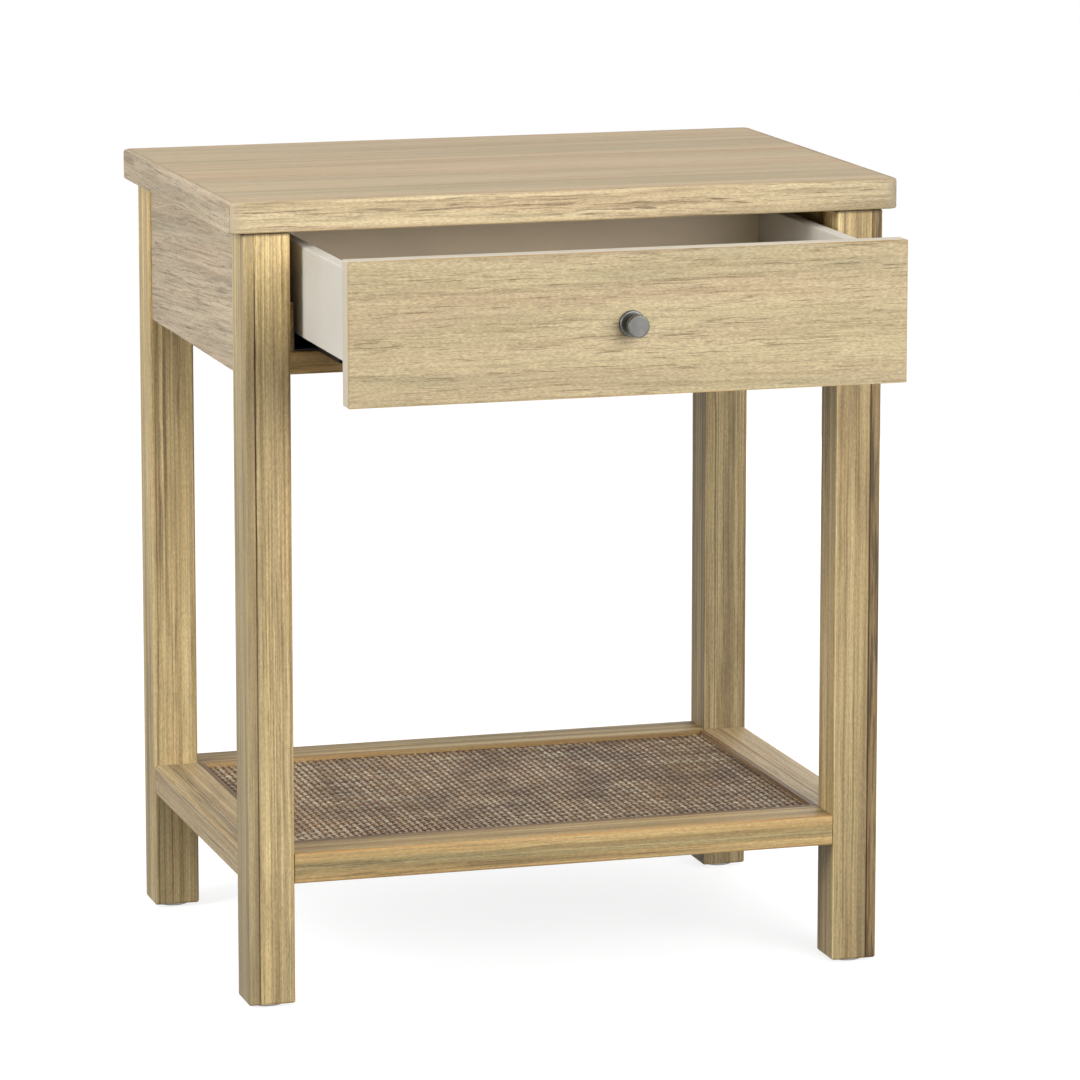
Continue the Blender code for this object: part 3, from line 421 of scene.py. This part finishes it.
def turned_ends(shader, node, shade, tone):
    """Gives a lipping's ends the side lippings' colour, and its right half painted shade, darker towards the
    right end where the light is brighter.
    """
    low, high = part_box(node)
    x = shader.split(shader.place())[0]
    nearest = shader.math("MINIMUM", shader.math("SUBTRACT", x, low.x), shader.math("SUBTRACT", high.x, x))
    near = shader.fit(nearest, 0.001, CORNER_BLEND, 0.8, 0, smooth=True)
    shade = shader.mix(near, shade, linear(*WOODS["side"]["base"], tone * TONE))
    # painted shade, darker towards the right end
    return shader.brighten(shade, shader.fit(x, 0, high.x, 1, BAND_RIGHT_PAINTED_SHADE))


def beyond_groove(shader, point, shade, outwards, in_front, side):
    """The strip between a front leg's groove and its outer edge: duller, with dark streaks on one leg."""
    tint, share, tone, streaks = BEYOND_GROOVE[side]
    beyond = shader.fit(outwards, -0.0004, 0.0008, 0, 1)
    shade = shader.brighten(shade, shader.fit(beyond, 0, 1, 1, tone))
    shade = shader.mix(shader.math("MULTIPLY", beyond, share), shade, linear(*tint))
    streaked = shader.noise(shader.stretch(point, (8, 190, 190), (2.7, 0, 0)), 4, 0.62)
    streaked = shader.math("MULTIPLY", beyond, shader.fit(streaked, 0.49, 0.58, 0, streaks))
    streaked = shader.math("MULTIPLY", streaked, in_front)
    return shader.mix(streaked, shade, linear(*GROOVE_STREAK))


def grooved(shader, node, shade, point):
    """A front leg's face: stained groove, a duller strip beyond it, and a painted shadow line under the top."""
    low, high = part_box(node)
    left = node.endswith("left")
    middle = low.x + GROOVE_FROM_SIDE if left else high.x - GROOVE_FROM_SIDE
    x, y, z = shader.split(shader.place())
    outwards = shader.math("SUBTRACT", middle, x) if left else shader.math("SUBTRACT", x, middle)
    in_front = shader.fit(y, *[low.y + depth for depth in FRONT_FACE_EDGE], 1, 0)
    shade = beyond_groove(shader, point, shade, outwards, in_front, "left" if left else "right")

    wander = shader.noise(shader.stretch(point, (22, 60, 60)), 3, 0.6)
    reach = shader.fit(wander, 0.3, 0.7, GROOVE_REACH * 0.6, GROOVE_REACH * 1.6)
    off = shader.math("DIVIDE", shader.math("ABSOLUTE", outwards), reach)
    inside = shader.fit(off, 0.35, 1, 1, 0, smooth=True)
    height = shader.math("DIVIDE", shader.math("SUBTRACT", z, low.z), high.z - low.z)
    if left:
        share = shader.fit(height, 0.45, 0.66, 0.6, 1.0)
        share = shader.math("MULTIPLY", share, shader.fit(height, 0.87, 0.98, 1, 0.2))
    else:
        share = shader.fit(height, 0.2, 0.7, 1, 0.5)
    patchy = shader.fit(shader.noise(shader.stretch(point, (7, 12, 12)), 2), 0.36, 0.6, 0.7, 1.0)
    for factor in (in_front, patchy, share):
        inside = shader.math("MULTIPLY", inside, factor)
    shade = shader.mix(inside, shade, linear(*GROOVE_STAIN))
    # painted shadow line where the top's overhang shades the leg
    under_top = shader.fit(z, *[high.z - depth for depth in UNDER_TOP_EDGE], 0, 0.8)
    return shader.mix(under_top, shade, linear(*UNDER_TOP_SHADOW))


# ---------------------------------------------------------------------------
# Paint, metal, plastic and cane
# ---------------------------------------------------------------------------
def paint(name, colour, roughness=0.45):
    """Sprayed lacquer with a faint orange peel."""
    shader = Shader(name)
    point = shader.place()
    cloud = shader.noise(point, 3, 0.55, scale=9)
    shade = [linear(*[channel * share for channel in colour]) for share in (0.975, 1.015)]
    shader.set(Base_Color=shader.ramp(cloud, (0.35, shade[0]), (0.65, shade[1])))
    peel = shader.noise(point, 2, scale=420)
    shader.set(Roughness=shader.fit(cloud, 0.3, 0.7, roughness - 0.05, roughness + 0.06))
    shader.bump(peel, 0.00006)
    return shader.material


def metal(name, colour, roughness):
    """Plated or blackened steel: a fine grain, and patches of slightly different tone."""
    shader = Shader(name)
    point = shader.place()
    grain = shader.noise(point, 3, 0.6, scale=900)
    patch = shader.noise(point, 3, 0.5, scale=120)
    dark = linear(*[channel * 0.86 for channel in colour], 1.0)
    shader.set(Base_Color=shader.ramp(patch, (0.35, dark), (0.65, linear(*colour, 1.0))))
    shader.set(Metallic=1.0, Roughness=shader.fit(grain, 0.3, 0.7, roughness - 0.06, roughness + 0.08))
    shader.bump(grain, 0.00003)
    return shader.material


def plastic(name, colour):
    """Moulded plastic with a fine grain."""
    shader = Shader(name)
    grain = shader.noise(shader.place(), 3, 0.6, scale=700)
    dark = linear(*[channel * 0.92 for channel in colour])
    shader.set(Base_Color=shader.ramp(grain, (0.3, dark), (0.7, linear(*colour))))
    shader.set(Roughness=shader.fit(grain, 0.3, 0.7, 0.45, 0.58))
    shader.bump(grain, 0.00004)
    return shader.material


def cane(name, axis, seed):
    """Woven cane: fibres along each strand, painted shade where the strands dip low, with blotches over many
    strands.
    """
    shader = Shader(name)
    place = shader.place()
    x, y, z = shader.split(place)
    along, across = (x, y) if axis == "X" else (y, x)
    point = shader.stretch(shader.join(along, across, z), (1, 1, 1), (seed, 0.3 * seed, 0))
    strands = shader.noise(shader.stretch(point, (9, 160, 30)), 2)
    fibre = shader.noise(shader.stretch(point, (60, 2600, 2600)), 3, 0.6)
    blotch = shader.noise(shader.stretch(place, (1, 0.8, 1)), 3, 0.55, scale=18)
    tone = shader.ramp(
        strands,
        (0.32, linear(150, 114, 74)),
        (0.5, linear(216, 176, 128)),
        (0.68, linear(255, 240, 204)),
    )
    tone = shader.mix(shader.fit(fibre, 0.45, 0.7, 0, 0.5), tone, linear(92, 62, 34))
    tone = shader.mix(shader.fit(blotch, 0.38, 0.6, 0.5, 0), tone, linear(86, 56, 32))
    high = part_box("rattan_panel")[1]
    # painted shade: the strands darken where they dip low, as in the shade between the crowns
    dip_shade = shader.fit(z, high.z - 0.0011, high.z - 0.0002, 1, 0)
    tone = shader.mix(shader.math("MULTIPLY", dip_shade, 0.97), tone, linear(22, 13, 7))
    shader.set(Base_Color=tone, Roughness=shader.fit(fibre, 0.3, 0.7, 0.42, 0.6))
    shader.bump(fibre, 0.0002)
    return shader.material


# ---------------------------------------------------------------------------
# Woven shelf
# ---------------------------------------------------------------------------
def strand(start, step, count, sideways, lift, width, thick):
    """Points and quads of one closed flat strand through count places, lift metres up at each."""
    angles = 2 * math.pi * (np.arange(STRAND_SIDES) + 0.5) / STRAND_SIDES
    middle = start + np.arange(count)[:, None] * step
    middle[:, 2] += lift
    ring = width / 2 * np.cos(angles)[:, None] * sideways + thick / 2 * np.sin(angles)[:, None] * (0, 0, 1)
    points = (middle[:, None, :] + ring[None]).reshape(-1, 3)
    here = np.arange(count - 1)[:, None] * STRAND_SIDES
    side = np.arange(STRAND_SIDES)
    after = (side + 1) % STRAND_SIDES
    quads = np.stack(
        [here + side, here + after, here + after + STRAND_SIDES, here + side + STRAND_SIDES], -1
    ).reshape(-1, 4)
    return points, quads


def woven(name, axis, rng, material):
    """All strands that run along one axis, over and under the others."""
    low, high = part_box("rattan_panel")
    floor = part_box("shelf_backing")[1].z
    height = high.z - floor
    thick = height / 2
    span = [(low[i] + STRAND_INSET, high[i] - STRAND_INSET) for i in range(2)]
    pitches = (PITCH_X, PITCH_Y)
    run = 0 if axis == "X" else 1
    rise = 1 - run
    crossings = int((span[run][1] - span[run][0]) / pitches[run])
    strands = int((span[rise][1] - span[rise][0]) / pitches[rise])
    run_pitch = (span[run][1] - span[run][0]) / crossings
    rise_pitch = (span[rise][1] - span[rise][0]) / strands
    count = crossings * STEPS_PER_CROSSING + 1
    phase = np.arange(count) / STEPS_PER_CROSSING
    step = np.zeros(3)
    step[run] = run_pitch / STEPS_PER_CROSSING
    sideways = np.zeros(3)
    sideways[rise] = 1.0
    all_points, all_quads, caps, used = [], [], [], 0
    for k in range(strands):
        sign = (1 if k % 2 else -1) * (1 if axis == "X" else -1)
        lift = sign * thick / 2 * np.sin(math.pi * phase) * rng.uniform(*STRAND_LIFTS)
        start = np.zeros(3)
        start[run] = span[run][0]
        start[rise] = span[rise][0] + (k + 0.5) * rise_pitch + rng.uniform(-STRAND_SWAY, STRAND_SWAY)
        start[2] = floor + height / 2
        width = STRAND_WIDTH * rng.uniform(*STRAND_WIDTHS)
        points, quads = strand(start, step, count, sideways, lift, width, thick * STRAND_FILL)
        last = used + (count - 1) * STRAND_SIDES
        caps.append([used + i for i in range(STRAND_SIDES)][::-1])
        caps.append([last + i for i in range(STRAND_SIDES)])
        all_points.append(points)
        all_quads.append(quads + used)
        used += len(points)
    faces = np.concatenate(all_quads).tolist() + caps
    piece = smooth_piece(name, np.concatenate(all_points).tolist(), faces, material)
    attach(piece, "frame")
    return piece


def smooth_piece(name, points, faces, material):
    """A smoothly shaded mesh object with its faces turned outwards."""
    mesh = bpy.data.meshes.new(name)
    mesh.from_pydata(points, [], faces)
    mesh.update()
    turned_out(mesh)
    mesh.polygons.foreach_set("use_smooth", [True] * len(mesh.polygons))
    mesh.materials.append(material)
    piece = bpy.data.objects.new(name, mesh)
    bpy.context.scene.collection.objects.link(piece)
    return piece


def turned_out(mesh):
    """Points the mesh's faces outwards."""
    shape = bmesh.new()
    shape.from_mesh(mesh)
    bmesh.ops.recalc_face_normals(shape, faces=shape.faces)
    shape.to_mesh(mesh)
    shape.free()


def make_weave():
    """Two sets of strands, over and under each other, in place of the plain panel."""
    rng = np.random.default_rng(WEAVE_SEED)
    first = woven("rattan_strands_x", "X", rng, cane("cane_x", "X", 1.3))
    woven("rattan_strands_y", "Y", rng, cane("cane_y", "Y", 2.7))
    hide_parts("rattan_panel")


# ---------------------------------------------------------------------------
# Which material each CAD node takes
# ---------------------------------------------------------------------------
BOARDS = {
    # node: (look, axis of its grain, how light the board is). The legs' and the front rail's lightness
    # also makes up for differences between this light and the photograph's.
    "top_panel": ("top", "X", 1.0),
    "lipping_front": ("band", "X", 1.0),
    "lipping_rear": ("band", "X", 1.0),
    "lipping_left": ("side", "Y", 1.05),
    "lipping_right": ("side", "Y", 1.0),
    "leg_front_left": ("leg", "Z", 1.44),
    "leg_front_right": ("leg", "Z", 0.92),
    "leg_rear_left": ("leg", "Z", 1.25),
    "leg_rear_right": ("leg", "Z", 0.77),
    "apron_left": ("side", "Y", 1.12),
    "apron_right": ("side", "Y", 1.0),
    "apron_back": ("side", "X", 1.0),
    "front_rail": ("divider", "X", 2.0),
    "top_cleat_left": ("rail", "Y", 1.0),
    "top_cleat_right": ("rail", "Y", 1.0),
    "shelf_rail_front": ("rail", "X", 1.06),
    "shelf_rail_rear": ("rail", "X", 1.0),
    "shelf_rail_left": ("flank", "Y", 1.1),
    "shelf_rail_right": ("flank", "Y", 1.08),
    "bead_front": ("bead", "X", 1.0),
    "bead_rear": ("rail", "X", 0.8),
    "bead_left": ("bead", "Y", 1.0),
    "bead_right": ("bead", "Y", 1.0),
    "drawer_veneer": ("veneer", "X", 1.0),
    "slide_packer_left": ("rail", "Y", 0.9),
    "slide_packer_right": ("rail", "Y", 0.9),
}
APRON_SLOPE = 0.07  # how far the side aprons' grain climbs towards the front


def dress(node, material):
    """Gives the node this material in every slot."""
    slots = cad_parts[node].data.materials
    for index in range(len(slots)):
        slots[index] = material
    if not slots:
        slots.append(material)


def dress_boards():
    """Gives each board its own wood; its place in BOARDS is its seed."""
    for seed, (node, (kind, axis, tone)) in enumerate(BOARDS.items(), start=1):
        slope = -APRON_SLOPE if node in ("apron_left", "apron_right") else 0.0
        dress(node, wood(node, kind, axis, tone, seed, slope))


def dress_rest():
    """Gives every other node its paint, metal or plastic."""
    cream = paint("cream_paint", (234, 228, 216))
    core = paint("cream_core", (224, 211, 187))
    inner = paint("cream_inner", (250, 231, 200))
    # painted shade: the backing's near-black brown stands in for the shade seen through the weave's gaps
    backing = paint("backing_board_painted_shade", (52, 36, 22), 0.7)
    gunmetal = metal("gunmetal", (104, 103, 100), 0.34)
    steel = metal("steel", (176, 176, 178), 0.32)
    dark = metal("black_steel", (44, 44, 46), 0.5)
    oiled = metal("oiled_steel", (98, 86, 66), 0.5)
    black = plastic("black_plastic", (26, 26, 26))
    nylon = plastic("glide_nylon", (240, 238, 232))
    looks = [
        (("drawer_side", "drawer_bottom"), cream),
        (("drawer_front",), core),
        (("drawer_back", "drawer_box"), inner),
        (("shelf_backing",), backing),
        (("knob",), gunmetal),
        (("slide_cabinet", "slide_middle", "rail_screw"), dark),
        (("slide_drawer",), oiled),
        (("slide_clip",), black),
        (("glide",), nylon),
        (("top_screw", "front_screw", "knob_screw"), steel),
    ]
    for starts, material in looks:
        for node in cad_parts:
            if node.startswith(starts):
                dress(node, material)


# ---------------------------------------------------------------------------
# Stage
# ---------------------------------------------------------------------------
STAGE_FLAT = 4.0  # metres from the middle to the first ring of points
STAGE_REACH = 40.0
STAGE_CURVE = 15.0
STAGE_HEIGHT = 60.0
STAGE_TURNS = 96
STAGE_BENDS = 12
PAPER = 0.3
PAPER_GLOW = 0.82


def make_floor():
    """A pale paper floor that curves up into a wall all round. It throws no diffuse light on the object."""
    rise = [(STAGE_CURVE * math.sin(t), STAGE_CURVE * (1 - math.cos(t))) for t in angles_to(STAGE_BENDS)]
    profile = [(STAGE_FLAT, 0.0)] + [(STAGE_REACH - STAGE_CURVE + out, up) for out, up in rise]
    profile.append((STAGE_REACH, STAGE_HEIGHT))
    points = [(0.0, 0.0, 0.0)]
    for radius, height in profile:
        for k in range(STAGE_TURNS):
            angle = 2 * math.pi * k / STAGE_TURNS
            points.append((radius * math.cos(angle), radius * math.sin(angle), height))
    faces = [(0, 1 + k, 1 + (k + 1) % STAGE_TURNS) for k in range(STAGE_TURNS)]
    for row in range(len(profile) - 1):
        first = 1 + row * STAGE_TURNS
        second = first + STAGE_TURNS
        for k in range(STAGE_TURNS):
            after = (k + 1) % STAGE_TURNS
            faces.append((first + k, second + k, second + after, first + after))
    mesh = bpy.data.meshes.new("floor")
    mesh.from_pydata(points, [], faces)
    floor = bpy.data.objects.new("floor", mesh)
    shader = Shader("floor_paper")
    shader.set(Base_Color=(PAPER, PAPER, PAPER, 1.0), Roughness=0.9, Specular_IOR_Level=0.0)
    shader.set(Emission_Color=(1.0, 1.0, 1.0, 1.0), Emission_Strength=PAPER_GLOW)
    mesh.materials.append(shader.material)
    floor.visible_diffuse = False
    floor.visible_shadow = False
    bpy.context.scene.collection.objects.link(floor)


def angles_to(steps):
    """Steps + 1 angles from 0 to a quarter turn."""
    return [math.pi / 2 * k / steps for k in range(steps + 1)]


def graded(tree, value, ends, levels):
    """A smooth step from one level to another as value goes between ends."""
    made = tree.nodes.new("ShaderNodeMapRange")
    made.interpolation_type = "SMOOTHSTEP"
    for index, number in enumerate((*ends, *levels), start=1):
        made.inputs[index].default_value = number
    tree.links.new(value, made.inputs[0])
    return made.outputs[0]


def make_lights():
    """The dome with its glow in front, and the softboxes, each turned to LAMP_TARGET."""
    world = bpy.data.worlds.new("studio")
    bpy.context.scene.world = world
    world.use_nodes = True
    nodes, links = world.node_tree.nodes, world.node_tree.links
    way = nodes.new("ShaderNodeTexCoord").outputs["Generated"]
    split = nodes.new("ShaderNodeSeparateXYZ")
    links.new(way, split.inputs[0])
    sky = graded(world.node_tree, split.outputs[2], SKY_EDGES, (SKY_BELOW, SKY_ABOVE))
    facing = nodes.new("ShaderNodeVectorMath")
    facing.operation = "DOT_PRODUCT"
    facing.inputs[1].default_value = Vector(GLOW_FROM).normalized()
    links.new(way, facing.inputs[0])
    box = graded(world.node_tree, facing.outputs["Value"], GLOW_EDGES, (0.0, GLOW_GAIN))
    both = nodes.new("ShaderNodeMath")
    links.new(sky, both.inputs[0])
    links.new(box, both.inputs[1])
    links.new(both.outputs[0], nodes["Background"].inputs["Strength"])
    nodes["Background"].inputs["Color"].default_value = (1.0, 1.0, 1.0, 1.0)

    for name, place, size, power in LAMPS:
        lamp = bpy.data.lights.new(name, "AREA")
        lamp.size = size
        lamp.energy = power
        light = bpy.data.objects.new(name, lamp)
        light.location = place
        away = Vector(place) - Vector(LAMP_TARGET)
        light.rotation_euler = away.to_track_quat("Z", "Y").to_euler()
        bpy.context.scene.collection.objects.link(light)


def make_camera():
    """A long lens with a small shift, so that the verticals stay nearly parallel."""
    lens = bpy.data.cameras.new("camera")
    lens.sensor_width = CAMERA_SENSOR
    lens.lens = CAMERA_LENS
    lens.shift_y = CAMERA_SHIFT_Y
    camera = bpy.data.objects.new("camera", lens)
    camera.location = CAMERA_PLACE
    camera.rotation_euler = (math.radians(90 - CAMERA_PITCH), 0, math.radians(-CAMERA_YAW))
    bpy.context.scene.collection.objects.link(camera)
    bpy.context.scene.camera = camera


dress_boards()
dress_rest()
make_weave()
make_floor()
make_lights()
make_camera()
bpy.context.scene.view_settings.view_transform = "Standard"
